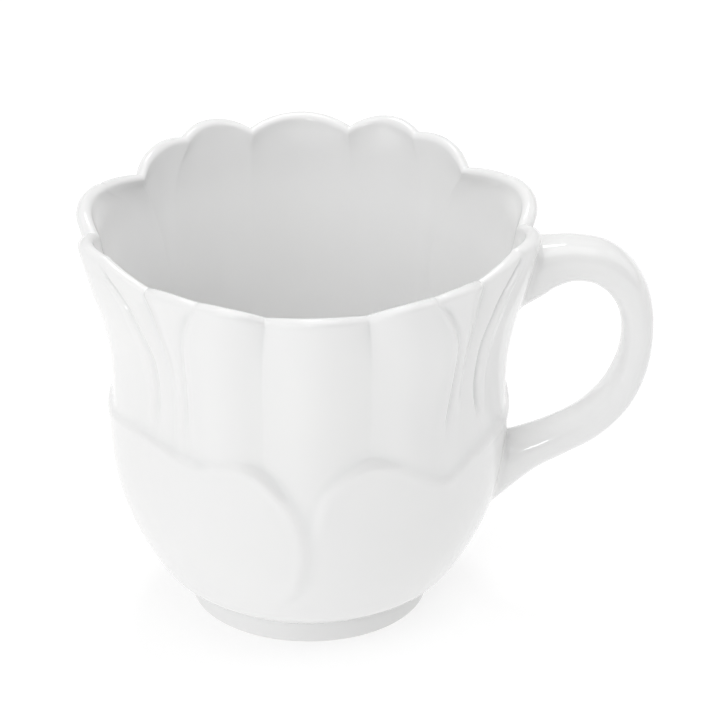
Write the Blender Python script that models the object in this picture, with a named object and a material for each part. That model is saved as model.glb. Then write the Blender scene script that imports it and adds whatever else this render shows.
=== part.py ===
"""Porcelain petal cup: a moulded bowl with a scalloped rim, a foot ring and a loop handle.

Lengths are in millimetres until a vertex is made, and MM turns them into metres.
Angles round the cup are in degrees from its front (-Y), and grow towards the handle (+X).
"""

import math

import bmesh
import bpy
from mathutils import Vector

MM = 0.001

# Gap kept between neighbouring pieces, and the thickness of the clay slip that joins the handle.
PIECE_GAP = 0.3
SLIP_THICKNESS = 0.7

# Outer profile of the bowl through its crests: height and radius, from the foot to the lip.
BOWL_PROFILE = (
    (4.7, 25.4), (8.0, 30.4), (12.0, 33.7), (17.0, 36.7), (24.0, 39.7), (32.0, 41.7),
    (42.0, 42.5), (52.0, 42.6), (61.0, 43.4), (70.0, 45.3), (79.0, 48.0), (91.0, 50.6),
)

# Notch lines of one quarter of the bowl, from the middle of the front petal to the handle's side:
# angle at the lip, angle lower down, lip height, and depth below the crests at the lip and lower down.
NOTCH_LINES = (
    (13.4, 16.0, 88.3, 3.0, 0.7),
    (31.7, 42.0, 89.4, 2.5, 0.4),
    (54.0, 47.3, 87.0, 4.6, 1.4),
    (71.0, 52.5, 89.4, 1.6, 0.4),
    (90.0, 90.0, 86.4, 2.0, 0.4),
)
# Scallops between those lines: columns, bulge at the lip and lower down, and rise of the lip.
SCALLOPS = (
    (3, 2.9, 0.8, 1.5),
    (4, 2.2, 0.8, 1.7),
    (4, 1.4, 0.0, 1.3),
    (4, 0.3, 0.0, 0.1),
    (5, 2.1, 0.5, 0.9),
)
# Depth below the lip over which the notch lines swing to their lower angles, and how fast.
SWING_DEPTH = 20.0
SWING_POWER = 2.3
# Depth over which the deep scallops of the lip soften into shallow flutes.
FLUTE_FADE = 15.0

# Upper edge of the leaves in relief round the lower bowl: angle from the front and height.
LEAF_EDGE = (
    (-90.0, 46.5), (-60.0, 49.0), (-38.0, 46.5), (-20.0, 50.5), (-8.0, 46.0), (2.0, 40.0),
    (8.0, 48.0), (18.0, 51.0), (30.0, 47.0), (40.0, 43.0), (58.0, 45.5), (75.0, 46.5), (90.0, 46.5),
)
LEAF_RISE = 0.5
LEAF_EDGE_WIDTH = 3.0
# Height above the foot over which the relief grows from nothing.
RELIEF_START = 12.0

# Wall, lip and floor.
WALL = 3.0
FLOOR_TOP = 9.2
FLOOR_RADIUS = 20.0
# The inner wall curls in over this height towards this radius, by this share of the way.
FLOOR_CORNER = 18.0
FLOOR_CORNER_RADIUS = 25.0
FLOOR_CORNER_SHARE = 0.6
# Flat seat on the foot ring, and the dished underside within it.
SEAT_HEIGHT = 4.7
SEAT_RADIUS = 20.0
DISH_RADIUS = 18.0
UNDERSIDE_HEIGHT = 5.8
OUTER_ROWS = 25
INNER_ROWS = 17
LIP_STEPS = 4
# How far down the wall the lip's round starts and the inner wall ends, as shares of the wall's height.
LIP_DROP = 0.018
FLOOR_DROP = 0.86

# Foot ring.
FOOT_HEIGHT = 4.4
FOOT_RADIUS = 24.9
FOOT_TOP_RADIUS = 25.2
FOOT_INNER_RADIUS = 21.2
FOOT_EDGE_ROUND = 0.6
FOOT_SEGMENTS = 72

# Centre line of the handle, from the upper root to the lower: distance from the cup's axis, height,
# half thickness towards the fingers and half width across.
HANDLE_LINE = (
    (43.0, 75.2, 7.6, 8.0), (47.0, 76.2, 6.4, 7.0), (51.0, 77.4, 5.3, 6.0), (56.0, 78.1, 4.6, 5.4),
    (62.0, 76.9, 4.4, 5.3), (66.7, 72.7, 4.0, 5.3), (69.3, 66.5, 3.6, 5.3), (69.7, 59.0, 3.4, 5.3),
    (68.3, 51.8, 3.5, 5.3), (65.0, 45.1, 3.7, 5.3), (59.6, 39.5, 3.7, 5.3), (53.0, 35.8, 3.7, 5.3),
    (47.0, 33.1, 4.1, 5.7), (42.0, 30.6, 5.1, 6.6), (38.0, 28.4, 6.0, 7.4),
)
HANDLE_STEPS = 44
HANDLE_SIDES = 20
HANDLE_SQUARENESS = 2.4
HANDLE_TANGENT_STEP = 0.002
# The slip stands this far proud of the handle all round.
SLIP_BEAD = 0.4
# Height between the two joints, and the size of a block that holds all of one side of it.
JOINT_SPLIT_HEIGHT = 55.0
BLOCK_SIZE = 200.0

PORCELAIN = (0.93, 0.93, 0.92)
BISQUE = (0.86, 0.84, 0.80)


def smoothstep(value):
    """Ease from 0 to 1 as value goes from 0 to 1."""
    value = min(max(value, 0.0), 1.0)
    return value * value * (3.0 - 2.0 * value)


def curve_through(points, x):
    """Read a smooth curve through rows of (x, values...) at x, as a list of its values."""
    last = len(points) - 1
    x = min(max(x, points[0][0]), points[last][0])
    index = 0
    while index < last - 1 and x > points[index + 1][0]:
        index += 1
    before = points[max(index - 1, 0)]
    start = points[index]
    end = points[index + 1]
    after = points[min(index + 2, last)]
    span = end[0] - start[0]
    u = (x - start[0]) / span
    values = []
    for k in range(1, len(start)):
        slope_start = (end[k] - before[k]) / (end[0] - before[0]) * span
        slope_end = (after[k] - start[k]) / (after[0] - start[0]) * span
        values.append(
            (2 * u ** 3 - 3 * u ** 2 + 1) * start[k]
            + (u ** 3 - 2 * u ** 2 + u) * slope_start
            + (3 * u ** 2 - 2 * u ** 3) * end[k]
            + (u ** 3 - u ** 2) * slope_end
        )
    return values


def wrap(angle):
    """Bring an angle into -180 to 180 degrees."""
    return (angle + 180.0) % 360.0 - 180.0


def leaf_height(angle):
    """Height of the leaves' upper edge; the back repeats the front, turned half round."""
    angle = wrap(angle)
    if abs(angle) > 90.0:
        angle = wrap(angle + 180.0)
    return curve_through(LEAF_EDGE, angle)[0]


def quarter_columns():
    """Columns of one quarter, each as (scallop number, place across that scallop from 0 to 1)."""
    columns = []
    for number, scallop in enumerate(SCALLOPS):
        for step in range(scallop[0]):
            columns.append((number, step / scallop[0]))
    columns.append((len(SCALLOPS) - 1, 1.0))
    return columns


def all_columns():
    """Columns round the whole bowl, as (scallop, place, mirror in Y, mirror in X)."""
    quarter = quarter_columns()
    back = quarter[:-1][::-1]
    right = [(n, u, 1, 1) for n, u in quarter] + [(n, u, -1, 1) for n, u in back]
    left = [(n, u, my, -1) for n, u, my, mx in right[::-1][1:-1]]
    return right + left


def between(first, second, u):
    """Mix two numbers."""
    return first + (second - first) * u


def scallop_shape(number, u, depth):
    """Angle, lip height and depth below the crests at a place on a scallop, at a depth below the lip."""
    swing = 1.0 - (1.0 - min(depth / SWING_DEPTH, 1.0)) ** SWING_POWER
    fade = math.exp(-depth / FLUTE_FADE)
    end = NOTCH_LINES[number]
    start = NOTCH_LINES[number - 1] if number else (-end[0], -end[1]) + end[2:]
    if number == 0:
        u = 0.5 + 0.5 * u
    angle = between(between(start[0], start[1], swing), between(end[0], end[1], swing), u)
    hump = 4.0 * u * (1.0 - u)
    columns, lip_bulge, low_bulge, lip_rise = SCALLOPS[number]
    height = between(start[2], end[2], u) + lip_rise * hump
    notch_depth = between(between(start[4], start[3], fade), between(end[4], end[3], fade), u)
    return angle, height, notch_depth - between(low_bulge, lip_bulge, fade) * hump


def bowl_point(column, drop, inset=0.0):
    """Point (angle, radius, height) of the outer wall, drop being 0 at the lip and 1 at the foot."""
    number, u, mirror_y, mirror_x = column
    lip = scallop_shape(number, u, 0.0)[1]
    height = between(lip, SEAT_HEIGHT, drop)
    angle, _, depth = scallop_shape(number, u, lip - height)
    if mirror_y < 0:
        angle = 180.0 - angle
    angle *= mirror_x
    under_leaf = leaf_height(angle) - height
    leaf = smoothstep(under_leaf / LEAF_EDGE_WIDTH + 0.5)
    foot_fade = smoothstep((height - SEAT_HEIGHT) / RELIEF_START)
    depth = between(depth + LEAF_RISE, 0.0, leaf) * foot_fade
    return angle, curve_through(BOWL_PROFILE, height)[0] - depth - inset, height


def place(angle, radius, height):
    """Turn an angle, radius and height in millimetres into a position in metres."""
    turn = math.radians(angle)
    return Vector((radius * math.sin(turn), -radius * math.cos(turn), height)) * MM


def outer_rings(offset=0.0):
    """Rings of the outer wall from the foot up to just below the lip, moved outwards by offset."""
    rings = []
    for row in range(OUTER_ROWS + 1):
        drop = between(1.0, LIP_DROP, row / OUTER_ROWS)
        rings.append([bowl_point(column, drop, -offset) for column in all_columns()])
    return rings


def lip_rings():
    """Rings over the rounded lip, from the outside to the inside."""
    rings = []
    half = WALL / 2
    for step in range(1, LIP_STEPS + 1):
        turn = math.pi * step / LIP_STEPS
        ring = []
        for column in all_columns():
            angle, radius, height = bowl_point(column, LIP_DROP, half)
            ring.append((angle, radius + half * math.cos(turn), height + half * math.sin(turn)))
        rings.append(ring)
    return rings


def inner_rings():
    """Rings down the inside of the bowl and across its floor."""
    rings = []
    for row in range(1, INNER_ROWS + 1):
        drop = between(LIP_DROP, FLOOR_DROP, row / INNER_ROWS)
        ring = []
        for column in all_columns():
            angle, radius, height = bowl_point(column, drop, WALL)
            curl = smoothstep((FLOOR_TOP + FLOOR_CORNER - height) / FLOOR_CORNER)
            ring.append((angle, between(radius, FLOOR_CORNER_RADIUS, curl * FLOOR_CORNER_SHARE), height))
        rings.append(ring)
    floor = [(point[0], FLOOR_RADIUS, FLOOR_TOP) for point in rings[-1]]
    rings.append(floor)
    return rings


def add_ring(mesh, ring):
    """Add one ring of vertices."""
    return [mesh.verts.new(place(*point)) for point in ring]


def join_rings(mesh, lower, upper):
    """Fill the band between two rings of equal count."""
    count = len(lower)
    for index in range(count):
        following = (index + 1) % count
        mesh.faces.new((lower[index], lower[following], upper[following], upper[index]))


def cap_ring(mesh, ring, height):
    """Close a ring with a fan round a point on the cup's axis."""
    middle = mesh.verts.new((0.0, 0.0, height * MM))
    count = len(ring)
    for index in range(count):
        mesh.faces.new((ring[index], ring[(index + 1) % count], middle))


def loft(rings, start_height, end_height):
    """Closed mesh over a chain of rings, with a fan at each end on the cup's axis."""
    mesh = bmesh.new()
    rows = [add_ring(mesh, ring) for ring in rings]
    for lower, upper in zip(rows, rows[1:]):
        join_rings(mesh, lower, upper)
    cap_ring(mesh, rows[0][::-1], start_height)
    cap_ring(mesh, rows[-1], end_height)
    bmesh.ops.recalc_face_normals(mesh, faces=mesh.faces)
    return mesh


def finish_object(mesh, name, material, parent, sharp_degrees=50.0):
    """Turn a bmesh into a smooth-shaded object of its own with one material."""
    data = bpy.data.meshes.new(name)
    mesh.to_mesh(data)
    mesh.free()
    data.shade_smooth()
    data.set_sharp_from_angle(angle=math.radians(sharp_degrees))
    data.materials.append(material)
    thing = bpy.data.objects.new(name, data)
    bpy.context.scene.collection.objects.link(thing)
    thing.parent = parent
    return thing


def ceramic(name, colour, roughness, coat):
    """Ceramic material, glazed when it has a coat."""
    material = bpy.data.materials.new(name)
    material.use_nodes = True
    shader = material.node_tree.nodes["Principled BSDF"]
    shader.inputs["Base Color"].default_value = (*colour, 1.0)
    shader.inputs["Roughness"].default_value = roughness
    shader.inputs["Metallic"].default_value = 0.0
    shader.inputs["Coat Weight"].default_value = coat
    return material


def make_bowl(parent):
    """The bowl: fluted wall, rounded scalloped lip, smooth inside and a dished underside."""
    outside = outer_rings()
    seat = [(point[0], SEAT_RADIUS, SEAT_HEIGHT) for point in outside[0]]
    dish = [(point[0], DISH_RADIUS, UNDERSIDE_HEIGHT) for point in outside[0]]
    rings = [dish, seat] + outside + lip_rings() + inner_rings()
    mesh = loft(rings, UNDERSIDE_HEIGHT, FLOOR_TOP)
    return finish_object(mesh, "cup_body", ceramic("body_glaze", PORCELAIN, 0.12, 1.0), parent)


def foot_outline():
    """Section of the foot ring as (radius, height), anticlockwise from its inner lower corner."""
    edge = FOOT_EDGE_ROUND
    return (
        (FOOT_INNER_RADIUS + edge, 0.0), (FOOT_RADIUS - edge, 0.0), (FOOT_RADIUS, edge),
        (FOOT_TOP_RADIUS, FOOT_HEIGHT), (FOOT_INNER_RADIUS, FOOT_HEIGHT), (FOOT_INNER_RADIUS, edge),
    )


def make_foot(parent):
    """The foot ring, turned round the cup's axis."""
    mesh = bmesh.new()
    rings = []
    for radius, height in foot_outline():
        ring = [(360.0 * k / FOOT_SEGMENTS, radius, height) for k in range(FOOT_SEGMENTS)]
        rings.append(add_ring(mesh, ring))
    for lower, upper in zip(rings, rings[1:] + rings[:1]):
        join_rings(mesh, lower, upper)
    bmesh.ops.recalc_face_normals(mesh, faces=mesh.faces)
    return finish_object(mesh, "foot_ring", ceramic("foot_glaze", BISQUE, 0.45, 0.3), parent, 30.0)


def handle_frame(place_along):
    """Centre, outward normal and half sizes of the handle at a place from 0 to 1 along it."""
    rows = [(k / (len(HANDLE_LINE) - 1),) + row for k, row in enumerate(HANDLE_LINE)]
    ahead = curve_through(rows, min(place_along + HANDLE_TANGENT_STEP, 1.0))
    behind = curve_through(rows, max(place_along - HANDLE_TANGENT_STEP, 0.0))
    x, z, thick, wide = curve_through(rows, place_along)
    run = Vector((ahead[0] - behind[0], 0.0, ahead[1] - behind[1])).normalized()
    normal = Vector((-run.z, 0.0, run.x))
    return Vector((x, 0.0, z)), normal, thick, wide


def handle_mesh(extra=0.0):
    """Closed sweep of a rounded section along the handle's centre line, swollen by extra."""
    mesh = bmesh.new()
    rows = []
    for step in range(HANDLE_STEPS + 1):
        centre, normal, thick, wide = handle_frame(step / HANDLE_STEPS)
        row = []
        for side in range(HANDLE_SIDES):
            turn = 2.0 * math.pi * side / HANDLE_SIDES
            power = 2.0 / HANDLE_SQUARENESS
            out = math.copysign(abs(math.cos(turn)) ** power, math.cos(turn)) * (thick + extra)
            across = math.copysign(abs(math.sin(turn)) ** power, math.sin(turn)) * (wide + extra)
            row.append(mesh.verts.new((centre + normal * out + Vector((0.0, across, 0.0))) * MM))
        rows.append(row)
    for lower, upper in zip(rows, rows[1:]):
        join_rings(mesh, lower, upper)
    mesh.faces.new(rows[0])
    mesh.faces.new(rows[-1])
    bmesh.ops.recalc_face_normals(mesh, faces=mesh.faces)
    return mesh


def make_cutter(mesh, name, parent):
    """Hidden object that only shapes others."""
    cutter = finish_object(mesh, name, bpy.data.materials[0], parent)
    cutter.hide_render = True
    cutter.display_type = "WIRE"
    return cutter


def bowl_cutter(name, offset, parent):
    """Solid with the bowl's outer shape, grown by offset."""
    rings = outer_rings(offset)
    return make_cutter(loft(rings, SEAT_HEIGHT, NOTCH_LINES[0][2]), name, parent)


def half_space(name, above, parent):
    """Block that holds everything above or below the height between the two joints."""
    mesh = bmesh.new()
    bmesh.ops.create_cube(mesh, size=1.0)
    middle = JOINT_SPLIT_HEIGHT + (BLOCK_SIZE / 2 if above else -BLOCK_SIZE / 2)
    for vertex in mesh.verts:
        vertex.co = (vertex.co * BLOCK_SIZE + Vector((0.0, 0.0, middle))) * MM
    return make_cutter(mesh, name, parent)


def cut(thing, cutter, operation):
    """Boolean one object with another."""
    modifier = thing.modifiers.new(operation.lower(), "BOOLEAN")
    modifier.operation = operation
    modifier.solver = "EXACT"
    modifier.object = cutter


def make_handle(parent):
    """The handle, its two ends hollowed to the bowl's wall with room for the slip."""
    handle = finish_object(handle_mesh(), "handle", ceramic("handle_glaze", PORCELAIN, 0.12, 1.0), parent)
    offset = 2 * PIECE_GAP + SLIP_THICKNESS
    cut(handle, bowl_cutter("handle_cutter", offset, parent), "DIFFERENCE")
    return handle


def make_slip(name, above, parent):
    """Thin layer of slip between one end of the handle and the bowl."""
    slip = finish_object(handle_mesh(SLIP_BEAD), name, ceramic(name + "_glaze", PORCELAIN, 0.18, 0.8), parent)
    cut(slip, half_space(name + "_half", above, parent), "INTERSECT")
    cut(slip, bpy.data.objects["slip_outer"], "INTERSECT")
    cut(slip, bpy.data.objects["slip_inner"], "DIFFERENCE")
    return slip


def centre_on_base(parent, pieces):
    """Move the parent so that the whole box is centred over the origin."""
    bpy.context.view_layer.update()
    graph = bpy.context.evaluated_depsgraph_get()
    xs = []
    for piece in pieces:
        mesh = piece.evaluated_get(graph).to_mesh()
        xs += [(piece.matrix_world @ vertex.co).x for vertex in mesh.vertices]
    parent.location.x = -(min(xs) + max(xs)) / 2


def build():
    """Make the whole cup."""
    for thing in list(bpy.data.objects):
        bpy.data.objects.remove(thing, do_unlink=True)
    base = bpy.data.objects.new("cup_axis", None)
    bpy.context.scene.collection.objects.link(base)
    pieces = [make_bowl(base), make_foot(base), make_handle(base)]
    bowl_cutter("slip_outer", PIECE_GAP + SLIP_THICKNESS, base)
    bowl_cutter("slip_inner", PIECE_GAP, base)
    pieces.append(make_slip("handle_slip_upper", True, base))
    pieces.append(make_slip("handle_slip_lower", False, base))
    centre_on_base(base, pieces)


build()
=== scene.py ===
"""Looks of the porcelain petal cup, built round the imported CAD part.

The cup's shape is worked out in millimetres from its own axis, and MM turns it into metres.
Angles round the cup are in degrees from its front (-Y), and grow towards the handle (+X).
"""

import math

import bmesh
import bpy
import numpy as np
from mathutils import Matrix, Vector
from mathutils.bvhtree import BVHTree


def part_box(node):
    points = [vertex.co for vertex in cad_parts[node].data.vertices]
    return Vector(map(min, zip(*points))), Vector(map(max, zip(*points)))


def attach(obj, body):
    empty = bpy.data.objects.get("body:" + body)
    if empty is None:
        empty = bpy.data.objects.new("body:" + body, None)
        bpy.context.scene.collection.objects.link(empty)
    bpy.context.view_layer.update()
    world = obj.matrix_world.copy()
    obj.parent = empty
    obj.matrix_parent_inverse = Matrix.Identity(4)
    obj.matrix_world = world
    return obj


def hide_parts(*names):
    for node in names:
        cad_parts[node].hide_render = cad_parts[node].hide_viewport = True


MM = 0.001
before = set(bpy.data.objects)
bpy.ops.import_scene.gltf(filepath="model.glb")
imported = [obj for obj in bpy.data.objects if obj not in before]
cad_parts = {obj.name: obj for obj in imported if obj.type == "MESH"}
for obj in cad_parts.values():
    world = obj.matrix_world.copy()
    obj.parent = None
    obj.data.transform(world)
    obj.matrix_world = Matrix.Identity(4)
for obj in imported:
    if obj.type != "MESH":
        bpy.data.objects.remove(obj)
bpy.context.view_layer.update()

# ------------------------------------------------------------ driving shape of the bowl

# Outer profile of the bowl through its crests: height and radius, from the foot to the lip.
BOWL_PROFILE = (
    (4.7, 25.4), (8.0, 30.4), (12.0, 33.7), (17.0, 36.7), (24.0, 39.7), (32.0, 41.7),
    (42.0, 42.5), (52.0, 42.6), (61.0, 43.4), (70.0, 45.3), (79.0, 48.0), (91.0, 50.6),
)

# Notch lines of one quarter of the bowl, from the middle of the front petal to the handle's side:
# lip height, and depth below the crests at the lip and lower down.
NOTCH_LINES = (
    (88.3, 3.0, 0.9),
    (89.4, 2.5, 0.3),
    (87.0, 4.6, 0.1),
    (89.4, 1.6, 0.2),
    (86.4, 2.0, 0.3),
)
# Way of each notch line down the wall: depth below the lip and angle. The second and fourth are the
# edges of the front and side petals. The right ways are for the quarters to the right of the front
# and back petals, seen from outside, and the left ways for the quarters to their left.
RIGHT_WAYS = (
    ((0.0, 13.4), (20.0, 15.6), (50.0, 16.0)),
    (
        (0.0, 31.7), (3.0, 34.5), (7.5, 38.0), (13.0, 41.0),
        (19.0, 42.3), (27.0, 42.0), (33.0, 41.0), (42.0, 39.0),
    ),
    ((0.0, 54.0), (6.0, 50.8), (13.0, 49.0), (20.0, 48.3), (30.0, 48.5), (42.0, 49.5)),
    (
        (0.0, 71.0), (2.8, 66.6), (6.9, 59.6), (11.4, 56.6), (15.4, 55.2),
        (20.0, 55.0), (27.0, 55.7), (34.0, 57.6), (44.0, 61.0),
    ),
    ((0.0, 90.0), (50.0, 90.0)),
)
LEFT_WAYS = (
    ((0.0, 13.4), (20.0, 15.3), (50.0, 15.6)),
    (
        (0.0, 31.7), (3.0, 33.5), (7.5, 35.5), (13.0, 36.8),
        (19.0, 37.6), (27.0, 38.4), (33.0, 38.8), (42.0, 39.0),
    ),
    ((0.0, 54.0), (6.0, 49.0), (13.0, 46.0), (20.0, 44.5), (30.0, 45.0), (42.0, 46.0)),
    (
        (0.0, 71.0), (2.8, 66.6), (4.8, 61.5), (7.6, 57.0), (14.9, 52.4),
        (20.0, 51.2), (27.0, 51.8), (33.0, 53.2), (44.0, 56.0),
    ),
    ((0.0, 90.0), (50.0, 90.0)),
)
# Scallops between those lines: columns, bulge at the lip and lower down, and rise of the lip.
SCALLOPS = (
    (16, 2.9, 1.0, 1.5),
    (26, 2.2, 0.9, 1.7),
    (20, 1.4, 0.1, 1.3),
    (20, 0.3, 0.1, 0.1),
    (26, 2.1, 0.5, 0.9),
)
FRONT_PETAL_LINE = 1
SIDE_PETAL_LINE = 3
# How far each scallop's columns crowd towards its two notch lines, from 0 (evenly spread) to 1.
COLUMN_CROWDING = 0.5
# Depth over which the deep scallops of the lip soften into shallow flutes.
FLUTE_FADE = 15.0
# Depth over which the sharp valleys between scallops become rounded, and how far.
VALLEY_SOFTENING = 16.0
VALLEY_SOFTNESS = 0.75
# Beads and grooves along the petals' edges: height or depth in the right and in the left quarters,
# then distance of the middle from the edge and width. Distances run from the petal over its edge.
FRONT_BEAD = (0.35, 0.22, -0.6, 0.9)
FRONT_VALLEY = (0.45, 0.35, 1.1, 0.9)
SIDE_BEAD = (0.25, 0.20, -1.0, 0.9)
SIDE_GROOVE = (1.1, 0.5, 0.75, 0.7)
# Neighbouring petals lie this much lower between the edges.
RECESS_DEPTH = 0.35
RECESS_WIDTH = 1.6
EDGES_START = 5.0
# Heights between which the edges fade out above the leaves.
EDGES_END = (50.0, 60.0)
# Height over which all relief grows from the plain foot of the bowl.
RELIEF_START = 12.0

# Upper edge of the leaves round the lower bowl: angle and height. The back repeats the front.
LEAF_TOP = (
    (-90.0, 46.0), (-68.0, 49.2), (-59.0, 50.2), (-47.0, 49.6), (-36.0, 48.4), (-22.4, 50.5),
    (-12.0, 46.5), (-2.0, 40.0), (6.5, 48.0), (12.7, 50.7), (18.1, 51.1), (24.7, 49.4),
    (37.1, 43.5), (42.9, 42.7), (49.4, 44.7), (58.6, 46.2), (74.0, 46.4), (90.0, 46.0),
)
# Outlines of the two leaf groups: the left one runs on down its right-hand edge, over the other.
LEFT_LEAF = (
    (-118.0, 45.0), (-104.0, 44.4), (-90.0, 46.0), (-68.0, 49.2), (-59.0, 50.2), (-47.0, 49.6),
    (-36.0, 48.4), (-29.0, 49.8), (-22.4, 50.5), (-16.0, 49.0), (-10.8, 45.1), (-6.8, 41.0),
    (-4.0, 35.5), (-3.0, 30.0), (-4.0, 24.0), (-6.6, 18.5), (-10.5, 14.5),
)
RIGHT_LEAF = (
    (-0.6, 30.0), (-0.2, 36.0), (0.7, 40.7), (2.4, 44.5), (6.5, 48.0), (12.7, 50.7), (18.1, 51.1),
    (24.7, 49.4), (30.7, 46.4), (37.1, 43.5), (42.9, 42.7), (49.4, 44.7), (58.6, 46.2), (74.0, 46.4),
    (90.0, 46.0), (104.0, 47.6),
)
# Heights between which each outline's relief fades in.
LEFT_LEAF_START = (12.0, 22.0)
RIGHT_LEAF_START = (31.0, 41.0)
# Radius of the bowl at the leaves, for distances along its wall, and steps per point of an outline.
LEAF_RADIUS = 42.0
OUTLINE_STEPS = 12
# Distance that the search for the nearest part of an outline starts from.
OUT_OF_REACH = 1e9
LEAF_RISE = 0.65
LEAF_EDGE_WIDTH = 2.8
LEAF_FALL = 10.0
LEAF_BEAD = 0.15
LEAF_BEAD_WIDTH = 1.3
LEAF_COVER_WIDTH = 6.0

# Wall, lip and floor. The rounded lip starts at this share of the wall's height below its top.
WALL = 2.9
LIP_DROP = 0.018
LIP_STEPS = 10
OUTER_ROWS = 150
INNER_ROWS = 34
FLOOR_ROWS = 18
SEAT_HEIGHT = 4.7
# All of the bowl's wall lies this far within the lines above, so that it stays inside the CAD's box.
SURFACE_INSET = 0.25
# Underside within the foot ring: radius and height, from the middle out.
UNDERSIDE = (
    (6.0, 5.8), (12.0, 5.8), (17.0, 5.75), (18.0, 5.6), (19.0, 5.1), (20.0, 4.75), (21.0, 4.7),
)
FLOOR_TOP = 9.2
FLOOR_CORNER_HEIGHT = 36.0
FLOOR_CORNER_POWER = 2.8
# Height of the ridge inside the rim: scallops above it, a nearly plain wall below.
RIDGE_HEIGHT = 84.3
RIDGE_ROUNDING = 0.15
# Wall below the ridge: depth under the crests, share of the outer flutes that shows, thinnest place.
INNER_LEVEL = 1.3
INNER_ECHO = 0.25
THIN_WALL = 1.5
SOFT_CORNER = 0.8

# ------------------------------------------------------------ driving shape of the foot and handle

FOOT_HEIGHT = 4.75
FOOT_RADIUS = 24.9
FOOT_TOP_RADIUS = 24.6
FOOT_INNER_RADIUS = 21.2
FOOT_EDGE_ROUND = 0.7
FOOT_SEGMENTS = 240
FOOT_EDGE_STEPS = 8
FOOT_SIDE_STEPS = (0.2, 0.4, 0.6, 0.8, 1.0)
# Faces of the standing edge below this height are left bare.
BARE_EDGE_HEIGHT = 0.3

# Centre line of the handle, from the upper root to the lower: distance from the cup's axis, height,
# half thickness towards the fingers and half width across.
HANDLE_LINE = (
    (39.0, 74.2, 8.9, 9.2), (43.0, 75.2, 7.6, 8.0), (47.0, 76.2, 6.4, 7.0), (51.0, 77.4, 5.3, 6.0),
    (56.0, 78.1, 4.6, 5.4), (62.0, 76.9, 4.4, 5.3), (66.7, 72.7, 4.0, 5.3), (69.3, 66.5, 3.6, 5.3),
    (69.7, 59.0, 3.4, 5.3), (68.3, 51.8, 3.5, 5.3), (65.0, 45.1, 3.7, 5.3), (59.6, 39.5, 3.7, 5.3),
    (53.0, 35.8, 3.7, 5.3), (47.0, 33.1, 4.1, 5.7), (42.0, 30.6, 5.1, 6.6), (38.0, 28.4, 6.0, 7.4),
    (34.0, 26.2, 6.9, 8.2),
)
HANDLE_STEPS = 260
HANDLE_SIDES = 96
HANDLE_SQUARENESS = 2.5
# Taken off the half thickness, so that the handle stays inside the CAD's box.
HANDLE_INSET = 0.02
# Step for working out directions: a share along the handle, and radians round its section.
HANDLE_TANGENT_STEP = 0.002
# Share from which the handle's surface is followed both ways until it meets the bowl.
HANDLE_MIDDLE = 0.5
HANDLE_LET_IN = 0.9
# Joints: reach of each fillet over handle and bowl, steps across it, how far its edges sink in, and
# how deep its hidden body goes.
UPPER_FILLET = 2.6
LOWER_FILLET = 2.2
FILLET_STEPS = 14
FILLET_SINK = 0.05
FILLET_BODY = 0.9

# Angles in degrees above which an edge is shaded sharp.
BOWL_SHARP = 180.0
FOOT_SHARP = 50.0
HANDLE_SHARP = 60.0
JOINT_SHARP = 50.0

# ------------------------------------------------------------ looks

GLAZE_IOR = 1.5
BODY_COOL = (0.85, 0.85, 0.85, 1.0)
BODY_WARM = (0.865, 0.865, 0.86, 1.0)
# Darker, slightly cooler tint in creases: painted crease shade together with glaze pooling.
CREASE_SHADE_AND_POOL_TINT = (0.93, 0.94, 0.94, 1.0)
NO_TINT = (1.0, 1.0, 1.0, 1.0)
# Painted crease shade and glaze pooling compare each place with those this many vertices away, and are full
# at this depth.
SHADE_AND_POOL_REACH = 3
SHADE_AND_POOL_DEPTH = 0.5
CLOUD_SCALE = 30.0
CLOUD_DETAIL = 3.0
CLOUD_ROUGHNESS = 0.55
CLOUD_SPREAD = (0.3, 0.7)
# Roughness of the glaze, as greys for a colour ramp.
GLOSS_LOW = (0.06, 0.06, 0.06, 1.0)
GLOSS_HIGH = (0.12, 0.12, 0.12, 1.0)
RIPPLE_SCALE = 160.0
RIPPLE_DETAIL = 2.0
RIPPLE_STRENGTH = 0.15
RIPPLE_HEIGHT = 0.0002
GRAIN_SCALE = 2500.0
GRAIN_DETAIL = 4.0
GRAIN_SPREAD = (0.35, 0.65)
GRAIN_STRENGTH = 0.4
GRAIN_HEIGHT = 0.00005
BARE_ROUGHNESS = 0.85
BARE_DARK = (0.74, 0.73, 0.71, 1.0)
BARE_LIGHT = (0.82, 0.81, 0.79, 1.0)

# ------------------------------------------------------------ stage, in metres

SCENE_CENTRE = (0.0, 0.0, 0.045)
FLOOR_HALF = 9.0
FLOOR_COLOUR = (0.44, 0.44, 0.44, 1.0)
FLOOR_ROUGHNESS = 0.9
FLOOR_SPECULAR = 0.1
FLOOR_GLOW_COLOUR = (1.0, 1.0, 1.0, 1.0)
FLOOR_GLOW = 0.61
# Studio surroundings: pale all round, but dimmer towards the right in front.
WORLD_PALE = (0.56, 0.56, 0.56, 1.0)
WORLD_DIM = (0.1, 0.1, 0.1, 1.0)
WORLD_DIM_TOWARDS = (42.0, 12.0)
# Cosines of the angle from that direction between which they change from pale to dim.
WORLD_CHANGE = (0.72, 0.95)
# Lights: name, azimuth, elevation, distance, size and power.
LIGHTS = (
    ("left_softbox", -50.0, 24.0, 1.6, (1.3, 1.2), 3.5),
    ("right_softbox", 105.0, 28.0, 1.6, (1.4, 1.2), 3.4),
    ("top_softbox", 10.0, 80.0, 1.6, (1.5, 1.5), 8.8),
    ("front_softbox", -14.0, 30.0, 1.6, (0.26, 0.3), 2.6),
    ("back_softbox", 185.0, 62.0, 1.6, (0.4, 0.3), 4.0),
)

# Camera: place it looks at in millimetres, then distance in metres, angles and lens.
CAMERA_TARGET = (-1.3, -0.5, 54.8)
CAMERA_DISTANCE = 2.2
CAMERA_AZIMUTH = -2.48
CAMERA_ELEVATION = 28.0
CAMERA_LENS = 518.5
CAMERA_SENSOR = 36.0
CAMERA_REACH = 20.0

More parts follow.
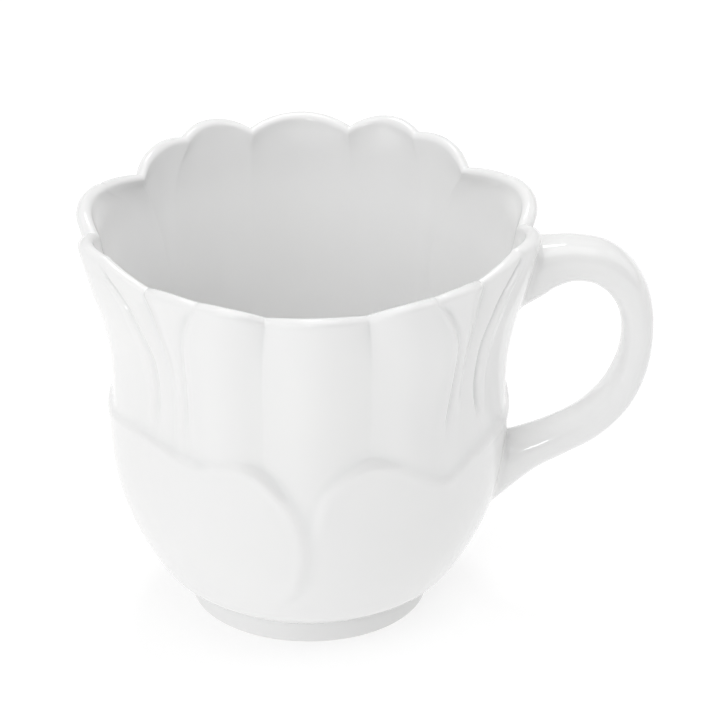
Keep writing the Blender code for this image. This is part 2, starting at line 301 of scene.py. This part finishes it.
# The cup's own axis, from the CAD foot ring, which is turned round it.
FOOT_LOW, FOOT_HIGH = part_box("foot_ring")
AXIS_X = (FOOT_LOW[0] + FOOT_HIGH[0]) / 2 / MM


def smoothstep(value):
    """Ease from 0 to 1 as value goes from 0 to 1."""
    value = np.clip(value, 0.0, 1.0)
    return value * value * (3.0 - 2.0 * value)


def between(first, second, u):
    """Mix two numbers or arrays."""
    return first + (second - first) * u


def curve_through(points, x):
    """Read a smooth curve through rows of (x, values...) at x; returns an array of its values."""
    points = np.asarray(points, float)
    xs = points[:, 0]
    last = len(xs) - 1
    x = np.clip(np.asarray(x, float), xs[0], xs[last])
    index = np.clip(np.searchsorted(xs, x) - 1, 0, last - 1)
    before = np.maximum(index - 1, 0)
    after = np.minimum(index + 2, last)
    span = xs[index + 1] - xs[index]
    u = (x - xs[index]) / span
    results = []
    for ys in points[:, 1:].T:
        slope_start = (ys[index + 1] - ys[before]) / (xs[index + 1] - xs[before]) * span
        slope_end = (ys[after] - ys[index]) / (xs[after] - xs[index]) * span
        results.append(
            (2 * u ** 3 - 3 * u ** 2 + 1) * ys[index]
            + (u ** 3 - 2 * u ** 2 + u) * slope_start
            + (3 * u ** 2 - 2 * u ** 3) * ys[index + 1]
            + (u ** 3 - u ** 2) * slope_end
        )
    return results[0] if len(results) == 1 else results


def smooth_path(points, count):
    """Points spread evenly in number along a smooth curve through a list of points."""
    rows = np.column_stack((np.linspace(0.0, 1.0, len(points)), points))
    return np.column_stack(curve_through(rows, np.linspace(0.0, 1.0, count)))


def wrap(angle):
    """Bring angles into -180 to 180 degrees."""
    return (angle + 180.0) % 360.0 - 180.0


# ------------------------------------------------------------ the bowl's surface

class Columns:
    """The columns of vertices round the bowl: which scallop each is on, and how it is mirrored."""

    def __init__(self):
        number, place = [], []
        for index, scallop in enumerate(SCALLOPS):
            steps = np.arange(scallop[0]) / scallop[0]
            if index == 0:
                steps = 0.5 + 0.5 * steps
            crowded = 0.5 - 0.5 * np.cos(math.pi * steps)
            number += [index] * scallop[0]
            place += list(between(steps, crowded, COLUMN_CROWDING))
        number.append(len(SCALLOPS) - 1)
        place.append(1.0)
        quarter = list(zip(number, place))
        back = quarter[:-1][::-1]
        right = [(n, u, 1, 1) for n, u in quarter] + [(n, u, -1, 1) for n, u in back]
        left = [(n, u, my, -1) for n, u, my, _ in right[::-1][1:-1]]
        table = np.array(right + left)
        self.number = table[:, 0].astype(int)
        self.place = table[:, 1]
        self.mirror_y = table[:, 2]
        self.mirror_x = table[:, 3]
        self.count = len(table)
        lines = np.array(NOTCH_LINES)
        self.start = np.vstack((lines[0], lines[:-1]))[self.number].T
        self.end = lines[self.number].T
        self.scallop = np.array(SCALLOPS)[self.number].T
        self.right = self.mirror_x * self.mirror_y > 0
        plain_lip = between(self.start[0], self.end[0], self.place)
        self.lip = plain_lip + self.scallop[3] * self.hump(0.0) - SURFACE_INSET

    def hump(self, softness):
        """Cross-section of each scallop, 0 at its ends and 1 in the middle, with sharp or soft valleys."""
        sharp = 4.0 * self.place * (1.0 - self.place)
        return between(sharp, np.sin(math.pi * self.place) ** 2, softness)

    def line(self, index, depth):
        """Unmirrored angle of one notch line at depths below the lip, for each column's side."""
        right = curve_through(RIGHT_WAYS[index], depth)
        return np.where(self.right, right, curve_through(LEFT_WAYS[index], depth))

    def angle(self, depth):
        """Unmirrored angle of each column at depths below the lip."""
        lines = np.array([self.line(k, depth) for k in range(len(NOTCH_LINES))])
        starts = np.concatenate((-lines[:1], lines[:-1]))
        start = np.take_along_axis(starts, self.number[None, None, :], axis=0)[0]
        end = np.take_along_axis(lines, self.number[None, None, :], axis=0)[0]
        return between(start, end, self.place)

    def mirrored(self, angle):
        """True angle round the cup."""
        return np.where(self.mirror_y < 0, 180.0 - angle, angle) * self.mirror_x


COLUMNS = Columns()


def flute_depth(depth):
    """Depth of the scallops and flutes below the crests of the profile."""
    fade = np.exp(-depth / FLUTE_FADE)
    soft = VALLEY_SOFTNESS * smoothstep(depth / VALLEY_SOFTENING)
    place = between(COLUMNS.place, smoothstep(COLUMNS.place), soft)
    notch = between(
        between(COLUMNS.start[2], COLUMNS.start[1], fade),
        between(COLUMNS.end[2], COLUMNS.end[1], fade),
        place,
    )
    bulge = between(COLUMNS.scallop[2], COLUMNS.scallop[1], fade)
    return notch - bulge * COLUMNS.hump(soft)


def inner_relief(depth):
    """Depth of the inner wall below its crests: scalloped at the lip, nearly plain under the ridge."""
    rim = flute_depth(np.zeros(depth.shape))
    plain = INNER_LEVEL + INNER_ECHO * flute_depth(depth)
    least = flute_depth(depth) - (WALL - THIN_WALL)
    below = (plain + least + np.hypot(plain - least, SOFT_CORNER)) / 2
    down = depth / (COLUMNS.lip - RIDGE_HEIGHT)
    return between(rim, below, (down + 1.0 - np.hypot(down - 1.0, RIDGE_ROUNDING)) / 2)


def petal_edges(depth, height, radius):
    """Beads, grooves and lower ground between the petals, as depth below the crests."""
    angle = COLUMNS.angle(depth)
    per_degree = math.pi / 180.0 * radius
    past_front = (angle - COLUMNS.line(FRONT_PETAL_LINE, depth)) * per_degree
    past_side = (COLUMNS.line(SIDE_PETAL_LINE, depth) - angle) * per_degree

    def line_relief(past, shape):
        size = np.where(COLUMNS.right, shape[0], shape[1])
        return size * np.exp(-((past - shape[2]) / shape[3]) ** 2)

    low_ground = smoothstep(past_front / RECESS_WIDTH) * smoothstep(past_side / RECESS_WIDTH)
    sunk = RECESS_DEPTH * low_ground
    sunk = sunk + line_relief(past_front, FRONT_VALLEY) - line_relief(past_front, FRONT_BEAD)
    sunk = sunk + line_relief(past_side, SIDE_GROOVE) - line_relief(past_side, SIDE_BEAD)
    bottom = smoothstep((height - EDGES_END[0]) / (EDGES_END[1] - EDGES_END[0]))
    return sunk * smoothstep(depth / EDGES_START) * bottom


def front_angle(angle):
    """Angle on the front half whose relief a place shows: the back repeats it, turned half round."""
    angle = wrap(angle)
    return np.where(np.abs(angle) > 90.0, wrap(angle + 180.0), angle)


def leaf_cover(angle, height):
    """1 under the leaves, 0 above them."""
    return smoothstep((curve_through(LEAF_TOP, front_angle(angle)) - height) / LEAF_COVER_WIDTH + 0.5)


def outline_distance(outline, angle, height, radius):
    """Signed distance in millimetres from places on the wall to a leaf's outline, positive inside."""
    path = smooth_path(np.array(outline), OUTLINE_STEPS * len(outline))
    along = np.radians(path[:, 0]) * radius
    up = path[:, 1]
    x = np.radians(angle) * radius
    best = np.full(x.shape, OUT_OF_REACH)
    side = np.zeros(x.shape)
    for k in range(len(path) - 1):
        dx, dz = along[k + 1] - along[k], up[k + 1] - up[k]
        px, pz = x - along[k], height - up[k]
        share = np.clip((px * dx + pz * dz) / (dx * dx + dz * dz), 0.0, 1.0)
        distance = np.hypot(px - share * dx, pz - share * dz)
        nearer = distance < best
        best = np.where(nearer, distance, best)
        side = np.where(nearer, np.sign(pz * dx - px * dz), side)
    return -best * side


def leaf_relief(angle, height):
    """Height of the leaves above the plain wall."""
    front = front_angle(angle)
    total = np.zeros(angle.shape)
    for outline, (low, high) in ((LEFT_LEAF, LEFT_LEAF_START), (RIGHT_LEAF, RIGHT_LEAF_START)):
        inside = outline_distance(outline, front, height, LEAF_RADIUS)
        plate = smoothstep(inside / LEAF_EDGE_WIDTH + 0.5)
        plate = plate * np.exp(-np.maximum(inside, 0.0) / LEAF_FALL)
        bead = np.exp(-((inside - LEAF_BEAD_WIDTH) / LEAF_BEAD_WIDTH) ** 2)
        total = total + (LEAF_RISE * plate + LEAF_BEAD * bead) * smoothstep((height - low) / (high - low))
    return total


def outer_wall():
    """Grids of angle, radius and height over the outer wall, one row per ring from foot to lip."""
    drop = np.linspace(1.0, LIP_DROP, OUTER_ROWS + 1)[:, None]
    height = between(COLUMNS.lip, SEAT_HEIGHT, drop)
    depth = COLUMNS.lip - height
    profile = curve_through(BOWL_PROFILE, height)
    angle = COLUMNS.mirrored(COLUMNS.angle(depth))
    cover = leaf_cover(angle, height)
    sunk = (flute_depth(depth) + petal_edges(depth, height, profile)) * (1.0 - cover)
    raised = leaf_relief(angle, height)
    start = smoothstep((height - SEAT_HEIGHT) / RELIEF_START)
    # The leaves rise half above the profile, and the plain wall lies as much below it.
    return angle, profile + (raised - sunk - LEAF_RISE / 2) * start - SURFACE_INSET, height


def inner_wall(top):
    """Grids of angle, radius and height down the inside, from the top of the lip to the floor's middle."""
    down = np.linspace(0.0, 1.0, INNER_ROWS + 1)[:, None]
    turn = np.linspace(0.0, math.pi / 2, FLOOR_ROWS + 1)[1:, None]
    wall_height = between(top, FLOOR_CORNER_HEIGHT, down)
    corner_height = between(FLOOR_CORNER_HEIGHT, FLOOR_TOP, np.sin(turn) ** (2 / FLOOR_CORNER_POWER))
    height = np.vstack((wall_height, np.broadcast_to(corner_height, (FLOOR_ROWS, COLUMNS.count))))
    draw_in = np.vstack((np.ones((INNER_ROWS + 1, 1)), np.cos(turn) ** (2 / FLOOR_CORNER_POWER)))
    depth = COLUMNS.lip - height
    profile = curve_through(BOWL_PROFILE, np.maximum(height, FLOOR_CORNER_HEIGHT)) - WALL
    angle = COLUMNS.mirrored(COLUMNS.angle(depth))
    wall = profile - inner_relief(depth) - LEAF_RISE / 2 - SURFACE_INSET
    return angle, wall * draw_in, height


def lip_round(outer, inner):
    """Grids over the rounded lip, from the top ring of the outer wall to that of the inner wall."""
    turn = np.linspace(0.0, math.pi, LIP_STEPS + 1)[1:-1, None]
    middle = (outer[1][-1] + inner[1][0]) / 2
    half = (outer[1][-1] - inner[1][0]) / 2
    angle = np.broadcast_to(outer[0][-1], (len(turn), COLUMNS.count))
    return angle, middle + half * np.cos(turn), outer[2][-1] + half * np.sin(turn)


def world_places(angle, radius, height):
    """World places in metres for angles, radii and heights."""
    turn = np.radians(angle)
    height = np.broadcast_to(height, turn.shape)
    return np.stack((AXIS_X + radius * np.sin(turn), -radius * np.cos(turn), height), axis=-1) * MM


def crease_shade_and_pool_amount(radius):
    """How deep each place lies in a crease, for painted crease shade together with glaze pooling. 0 on open
    ground, up to 1.
    """
    around = np.zeros(radius.shape)
    for step in (-SHADE_AND_POOL_REACH, SHADE_AND_POOL_REACH):
        around += np.roll(radius, step, axis=1)
        around += radius[np.clip(np.arange(len(radius)) + step, 0, len(radius) - 1)]
    return np.clip((around / 4 - radius) / SHADE_AND_POOL_DEPTH, 0.0, 1.0)


# ------------------------------------------------------------ meshes

def new_piece(name, places, faces, sharp_angle):
    """A smooth-shaded mesh object from world places in metres, its faces turned outward."""
    mesh = bpy.data.meshes.new(name)
    mesh.from_pydata([tuple(p) for p in places], [], faces)
    work = bmesh.new()
    work.from_mesh(mesh)
    bmesh.ops.recalc_face_normals(work, faces=work.faces)
    work.to_mesh(mesh)
    work.free()
    mesh.shade_smooth()
    mesh.set_sharp_from_angle(angle=math.radians(sharp_angle))
    piece = bpy.data.objects.new(name, mesh)
    bpy.context.collection.objects.link(piece)
    return piece


def ring_faces(rings, count, closed=False):
    """Quads between neighbouring rings of count vertices; closed also joins the last ring to the first."""
    faces = []
    for ring in range(rings if closed else rings - 1):
        low = ring * count
        high = (ring + 1) % rings * count
        for k in range(count):
            after = (k + 1) % count
            faces.append((low + k, low + after, high + after, high + k))
    return faces


def fan(ring_start, count, pole):
    """Triangles from a ring to a single vertex."""
    return [(ring_start + k, ring_start + (k + 1) % count, pole) for k in range(count)]


def set_attribute(piece, name, values):
    """Store one number per vertex for the material to read."""
    piece.data.attributes.new(name, "FLOAT", "POINT").data.foreach_set("value", values)


def make_bowl():
    """The fluted bowl, one closed shell: underside, outer wall, lip, inner wall and floor."""
    outer = outer_wall()
    inner = inner_wall(outer[2][-1])
    lip = lip_round(outer, inner)
    grids = [np.vstack(parts) for parts in zip(outer, lip, inner)]
    # The last ring has shrunk to the middle of the floor, where one vertex closes the shell instead.
    angle, radius, height = (grid[:-1] for grid in grids)
    under = [world_places(angle[0], np.full(COLUMNS.count, r), z) for r, z in UNDERSIDE]
    rings = under + list(world_places(angle, radius, height))
    faces = ring_faces(len(rings), COLUMNS.count)
    pole = len(rings) * COLUMNS.count
    faces += fan(0, COLUMNS.count, pole) + fan(pole - COLUMNS.count, COLUMNS.count, pole + 1)
    poles = [(AXIS_X * MM, 0.0, UNDERSIDE[0][1] * MM), (AXIS_X * MM, 0.0, FLOOR_TOP * MM)]
    bowl = new_piece("petal_bowl", np.vstack(rings + [poles]), faces, BOWL_SHARP)
    # Crease depth of the outer wall, for painted crease shade together with glaze pooling.
    shade_and_pool = np.zeros(len(bowl.data.vertices))
    start = len(under) * COLUMNS.count
    wall = crease_shade_and_pool_amount(outer[1])
    shade_and_pool[start:start + wall.size] = wall.ravel()
    set_attribute(bowl, "shade_and_pooling", shade_and_pool)
    return bowl


def make_foot():
    """The turned foot ring, with rounded edges, its top set against the bowl."""
    turn = np.linspace(0.0, math.pi / 2, FOOT_EDGE_STEPS + 1)
    small = FOOT_EDGE_ROUND
    inner, outer = FOOT_INNER_RADIUS, FOOT_RADIUS
    inner_edge = [(inner + small - small * math.cos(a), small - small * math.sin(a)) for a in turn]
    outer_edge = [(outer - small + small * math.sin(a), small - small * math.cos(a)) for a in turn]
    profile = [(FOOT_INNER_RADIUS, FOOT_HEIGHT)] + inner_edge + outer_edge + [
        (between(FOOT_RADIUS, FOOT_TOP_RADIUS, u), between(small, FOOT_HEIGHT, u)) for u in FOOT_SIDE_STEPS
    ]
    angle = np.arange(FOOT_SEGMENTS) * 360.0 / FOOT_SEGMENTS
    rings = [world_places(angle, np.full(FOOT_SEGMENTS, r), z) for r, z in profile]
    faces = ring_faces(len(rings), FOOT_SEGMENTS, closed=True)
    return new_piece("turned_foot", np.vstack(rings), faces, FOOT_SHARP)


# ------------------------------------------------------------ handle

def handle_surface(along, turn):
    """World places in metres on the handle's sweep, for shares along it and angles round its section."""
    rows = np.column_stack((np.linspace(0.0, 1.0, len(HANDLE_LINE)), HANDLE_LINE))
    x, z, thick, wide = curve_through(rows, along)
    ahead = curve_through(rows, along + HANDLE_TANGENT_STEP)
    behind = curve_through(rows, along - HANDLE_TANGENT_STEP)
    run_x, run_z = ahead[0] - behind[0], ahead[1] - behind[1]
    length = np.hypot(run_x, run_z)
    power = 2 / HANDLE_SQUARENESS
    across = np.sign(np.cos(turn)) * np.abs(np.cos(turn)) ** power * (thick - HANDLE_INSET)
    side = np.sign(np.sin(turn)) * np.abs(np.sin(turn)) ** power * wide
    x = x - run_z / length * across
    z = z + run_x / length * across
    return np.stack((AXIS_X + x, side + 0 * x, z), axis=-1) * MM


def handle_normal(along, turn):
    """Outward direction of the handle's surface."""
    step = HANDLE_TANGENT_STEP
    run = handle_surface(along + step, turn) - handle_surface(along - step, turn)
    around = handle_surface(along, turn + step) - handle_surface(along, turn - step)
    normal = np.cross(run, around)
    return normal / np.linalg.norm(normal, axis=-1, keepdims=True)


def meeting_places(tree, turns, shares):
    """Share along the handle at which each line of its surface first meets the bowl, going along shares."""
    found = []
    for turn in turns:
        line = [Vector(p) for p in handle_surface(shares, np.full(len(shares), turn))]
        for k in range(len(line) - 1):
            step = line[k + 1] - line[k]
            hit = tree.ray_cast(line[k], step, step.length)
            if hit[0] is not None:
                found.append(between(shares[k], shares[k + 1], hit[3] / step.length))
                break
        else:
            raise RuntimeError("a line of the handle misses the bowl")
    return np.array(found)


def share_step(along, turns, distance):
    """Change of share that moves each place that many millimetres along the handle."""
    step = HANDLE_TANGENT_STEP
    run = handle_surface(along + step, turns) - handle_surface(along - step, turns)
    return distance * MM * 2 * step / np.linalg.norm(run, axis=-1)


def make_handle(upper, lower, turns):
    """The loop of the handle, its ends let into the wall of the bowl."""
    first = upper - share_step(upper, turns, HANDLE_LET_IN)
    last = lower + share_step(lower, turns, HANDLE_LET_IN)
    shares = [between(first, last, k / HANDLE_STEPS) for k in range(HANDLE_STEPS + 1)]
    rings = [handle_surface(share, turns) for share in shares]
    ends = [rings[0].mean(axis=0), rings[-1].mean(axis=0)]
    pole = len(rings) * HANDLE_SIDES
    faces = ring_faces(len(rings), HANDLE_SIDES)
    faces += fan(0, HANDLE_SIDES, pole) + fan(pole - HANDLE_SIDES, HANDLE_SIDES, pole + 1)
    return new_piece("loop_handle", np.vstack(rings + [ends]), faces, HANDLE_SHARP)


def make_joint(name, tree, meeting, turns, direction, reach):
    """Collar of slip in the corner between handle and bowl: a concave fillet, its body let into both."""
    corner = handle_surface(meeting, turns)
    handle_out = handle_normal(meeting, turns)
    bowl_out = np.array([tree.find_nearest(Vector(p))[1] for p in corner])
    bowl_out = (np.roll(bowl_out, 1, axis=0) + bowl_out + np.roll(bowl_out, -1, axis=0)) / 3
    on_handle = handle_surface(meeting + direction * share_step(meeting, turns, reach), turns)
    outward = handle_out - (handle_out * bowl_out).sum(axis=1)[:, None] * bowl_out
    outward /= np.linalg.norm(outward, axis=1)[:, None]
    on_bowl = [tree.find_nearest(Vector(p)) for p in corner + outward * reach * MM]
    bowl_end_out = np.array([hit[1] for hit in on_bowl])
    on_bowl = np.array([hit[0] for hit in on_bowl]) - bowl_end_out * FILLET_SINK * MM
    on_handle = on_handle - handle_out * FILLET_SINK * MM
    rings = []
    for k in range(FILLET_STEPS + 1):
        u = k / FILLET_STEPS
        rings.append((1 - u) ** 2 * on_handle + 2 * u * (1 - u) * corner + u ** 2 * on_bowl)
    deep = FILLET_BODY * MM
    rings.append(on_bowl - bowl_end_out * deep)
    rings.append(corner - (bowl_out + handle_out) * deep)
    rings.append(on_handle - handle_out * deep)
    faces = ring_faces(len(rings), HANDLE_SIDES, closed=True)
    return new_piece(name, np.vstack(rings), faces, JOINT_SHARP)


def bowl_tree(bowl):
    """Search tree over the bowl's faces."""
    mesh = bowl.data
    return BVHTree.FromPolygons([v.co for v in mesh.vertices], [tuple(p.vertices) for p in mesh.polygons])


# ------------------------------------------------------------ materials

def add_node(tree, kind, **inputs):
    """A shader node with some of its inputs set; underscores stand for spaces in their names."""
    node = tree.nodes.new(kind)
    for name, value in inputs.items():
        node.inputs[name.replace("_", " ")].default_value = value
    return node


def colour_ramp(tree, source, low, high, start=0.0, end=1.0):
    """Mix of two greys or colours by a number from another node."""
    ramp = tree.nodes.new("ShaderNodeValToRGB")
    ramp.color_ramp.elements[0].position = start
    ramp.color_ramp.elements[0].color = low
    ramp.color_ramp.elements[1].position = end
    ramp.color_ramp.elements[1].color = high
    tree.links.new(source, ramp.inputs["Fac"])
    return ramp.outputs["Color"]


def shaded_and_pooled_colour(tree, body):
    """The body's colour, darkened and cooled in creases: painted crease shade together with glaze pooling.
    """
    shade_and_pool = tree.nodes.new("ShaderNodeAttribute")
    shade_and_pool.attribute_name = "shade_and_pooling"
    tint = colour_ramp(tree, shade_and_pool.outputs["Fac"], NO_TINT, CREASE_SHADE_AND_POOL_TINT)
    mix = tree.nodes.new("ShaderNodeMix")
    mix.data_type = "RGBA"
    mix.blend_type = "MULTIPLY"
    mix.inputs["Factor"].default_value = 1.0
    tree.links.new(body, mix.inputs["A"])
    tree.links.new(tint, mix.inputs["B"])
    return mix.outputs["Result"]


def glaze_material(name, shade_and_pooling):
    """Clear glaze over white porcelain: faint cloudiness, fine ripple, and, if asked, a darker, cooler tone
    in creases: painted crease shade together with glaze pooling.
    """
    material = bpy.data.materials.new(name)
    material.use_nodes = True
    tree = material.node_tree
    shader = tree.nodes["Principled BSDF"]
    shader.inputs["IOR"].default_value = GLAZE_IOR
    where = tree.nodes.new("ShaderNodeTexCoord").outputs["Object"]
    cloud = add_node(
        tree, "ShaderNodeTexNoise", Scale=CLOUD_SCALE, Detail=CLOUD_DETAIL, Roughness=CLOUD_ROUGHNESS
    )
    tree.links.new(where, cloud.inputs["Vector"])
    body = colour_ramp(tree, cloud.outputs["Fac"], BODY_COOL, BODY_WARM, *CLOUD_SPREAD)
    if shade_and_pooling:
        body = shaded_and_pooled_colour(tree, body)
    tree.links.new(body, shader.inputs["Base Color"])
    gloss = colour_ramp(tree, cloud.outputs["Fac"], GLOSS_LOW, GLOSS_HIGH)
    tree.links.new(gloss, shader.inputs["Roughness"])
    ripple = add_node(tree, "ShaderNodeTexNoise", Scale=RIPPLE_SCALE, Detail=RIPPLE_DETAIL)
    tree.links.new(where, ripple.inputs["Vector"])
    bump = add_node(tree, "ShaderNodeBump", Strength=RIPPLE_STRENGTH, Distance=RIPPLE_HEIGHT)
    tree.links.new(ripple.outputs["Fac"], bump.inputs["Height"])
    tree.links.new(bump.outputs["Normal"], shader.inputs["Normal"])
    return material


def bare_material():
    """Unglazed fired porcelain of the standing edge: matt and finely grained."""
    material = bpy.data.materials.new("bare_porcelain")
    material.use_nodes = True
    tree = material.node_tree
    shader = tree.nodes["Principled BSDF"]
    shader.inputs["Roughness"].default_value = BARE_ROUGHNESS
    where = tree.nodes.new("ShaderNodeTexCoord").outputs["Object"]
    grain = add_node(tree, "ShaderNodeTexNoise", Scale=GRAIN_SCALE, Detail=GRAIN_DETAIL)
    tree.links.new(where, grain.inputs["Vector"])
    tone = colour_ramp(tree, grain.outputs["Fac"], BARE_DARK, BARE_LIGHT, *GRAIN_SPREAD)
    tree.links.new(tone, shader.inputs["Base Color"])
    bump = add_node(tree, "ShaderNodeBump", Strength=GRAIN_STRENGTH, Distance=GRAIN_HEIGHT)
    tree.links.new(grain.outputs["Fac"], bump.inputs["Height"])
    tree.links.new(bump.outputs["Normal"], shader.inputs["Normal"])
    return material


# ------------------------------------------------------------ stage

def make_floor():
    """Plain pale floor, level with the foot of the cup."""
    half = FLOOR_HALF
    corners = [(-half, -half, 0.0), (half, -half, 0.0), (half, half, 0.0), (-half, half, 0.0)]
    mesh = bpy.data.meshes.new("floor")
    mesh.from_pydata(corners, [], [(0, 1, 2, 3)])
    floor = bpy.data.objects.new("floor", mesh)
    bpy.context.collection.objects.link(floor)
    material = bpy.data.materials.new("pale_floor")
    material.use_nodes = True
    shader = material.node_tree.nodes["Principled BSDF"]
    shader.inputs["Base Color"].default_value = FLOOR_COLOUR
    shader.inputs["Roughness"].default_value = FLOOR_ROUGHNESS
    shader.inputs["Specular IOR Level"].default_value = FLOOR_SPECULAR
    shader.inputs["Emission Color"].default_value = FLOOR_GLOW_COLOUR
    shader.inputs["Emission Strength"].default_value = FLOOR_GLOW
    mesh.materials.append(material)
    return floor


def direction(azimuth, elevation):
    """Unit vector towards an azimuth (0 in front, 90 to the right) and an elevation, in degrees."""
    a, e = math.radians(azimuth), math.radians(elevation)
    return Vector((math.sin(a) * math.cos(e), -math.cos(a) * math.cos(e), math.sin(e)))


def aim(thing, target):
    """Turn an object's -Z towards a place, keeping it level."""
    thing.rotation_euler = (Vector(target) - thing.location).to_track_quat("-Z", "Y").to_euler()


def make_light(name, azimuth, elevation, distance, size, power):
    """A soft rectangular light aimed at the cup."""
    data = bpy.data.lights.new(name, "AREA")
    data.shape = "RECTANGLE"
    data.size, data.size_y = size
    data.energy = power
    light = bpy.data.objects.new(name, data)
    light.location = Vector(SCENE_CENTRE) + distance * direction(azimuth, elevation)
    bpy.context.collection.objects.link(light)
    aim(light, SCENE_CENTRE)


def make_world():
    """Pale surroundings with one dimmer side."""
    world = bpy.data.worlds.new("studio")
    world.use_nodes = True
    tree = world.node_tree
    towards = tree.nodes.new("ShaderNodeVectorMath")
    towards.operation = "DOT_PRODUCT"
    towards.inputs[1].default_value = direction(*WORLD_DIM_TOWARDS)
    tree.links.new(tree.nodes.new("ShaderNodeTexCoord").outputs["Generated"], towards.inputs[0])
    tone = colour_ramp(tree, towards.outputs["Value"], WORLD_PALE, WORLD_DIM, *WORLD_CHANGE)
    tree.links.new(tone, tree.nodes["Background"].inputs["Color"])
    bpy.context.scene.world = world


def make_camera():
    """Long-lens camera in front of the cup, looking down at it."""
    data = bpy.data.cameras.new("camera")
    data.lens = CAMERA_LENS
    data.sensor_width = CAMERA_SENSOR
    data.clip_end = CAMERA_REACH
    camera = bpy.data.objects.new("camera", data)
    target = Vector(CAMERA_TARGET) * MM
    camera.location = target + CAMERA_DISTANCE * direction(CAMERA_AZIMUTH, CAMERA_ELEVATION)
    bpy.context.collection.objects.link(camera)
    aim(camera, target)
    bpy.context.scene.camera = camera


# ------------------------------------------------------------ assembly

def dress(piece, slot, material, *nodes):
    """Give a piece its material and body, and let it stand for its CAD nodes."""
    piece.data.materials.append(material)
    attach(piece, "root")
    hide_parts(*nodes)


def leave_edge_bare(foot):
    """Give the faces of the standing edge the bare material, the second of the foot."""
    foot.data.materials.append(bare_material())
    for face in foot.data.polygons:
        face.material_index = int(face.center.z < BARE_EDGE_HEIGHT * MM)


def build_handle(bowl, glaze):
    """The handle, cut off where it meets the bowl, and the two joints that hold it."""
    tree = bowl_tree(bowl)
    turns = np.arange(HANDLE_SIDES) * 2 * math.pi / HANDLE_SIDES
    shares = np.linspace(HANDLE_MIDDLE, 0.0, HANDLE_STEPS // 2 + 1)
    upper = meeting_places(tree, turns, shares)
    lower = meeting_places(tree, turns, 1.0 - shares)
    handle = make_handle(upper, lower, turns)
    dress(handle, "handle_glaze", glaze, "handle")
    upper_joint = make_joint("upper_handle_joint", tree, upper, turns, 1, UPPER_FILLET)
    dress(upper_joint, "slip_glaze", glaze, "handle_slip_upper")
    lower_joint = make_joint("lower_handle_joint", tree, lower, turns, -1, LOWER_FILLET)
    dress(lower_joint, "slip_glaze", glaze, "handle_slip_lower")


def build_cup():
    """The five pieces of the cup."""
    glaze = glaze_material("glaze", shade_and_pooling=False)
    # The bowl's glaze carries painted crease shade together with glaze pooling.
    bowl_glaze = glaze_material("bowl_glaze", shade_and_pooling=True)
    bowl = make_bowl()
    dress(bowl, "body_glaze", bowl_glaze, "cup_body")
    foot = make_foot()
    dress(foot, "foot_glaze", glaze, "foot_ring")
    leave_edge_bare(foot)
    build_handle(bowl, glaze)


def build_stage():
    """Floor, surroundings, lights and camera."""
    make_floor()
    make_world()
    for light in LIGHTS:
        make_light(*light)
    make_camera()
    bpy.context.scene.view_settings.view_transform = "Standard"


build_cup()
build_stage()
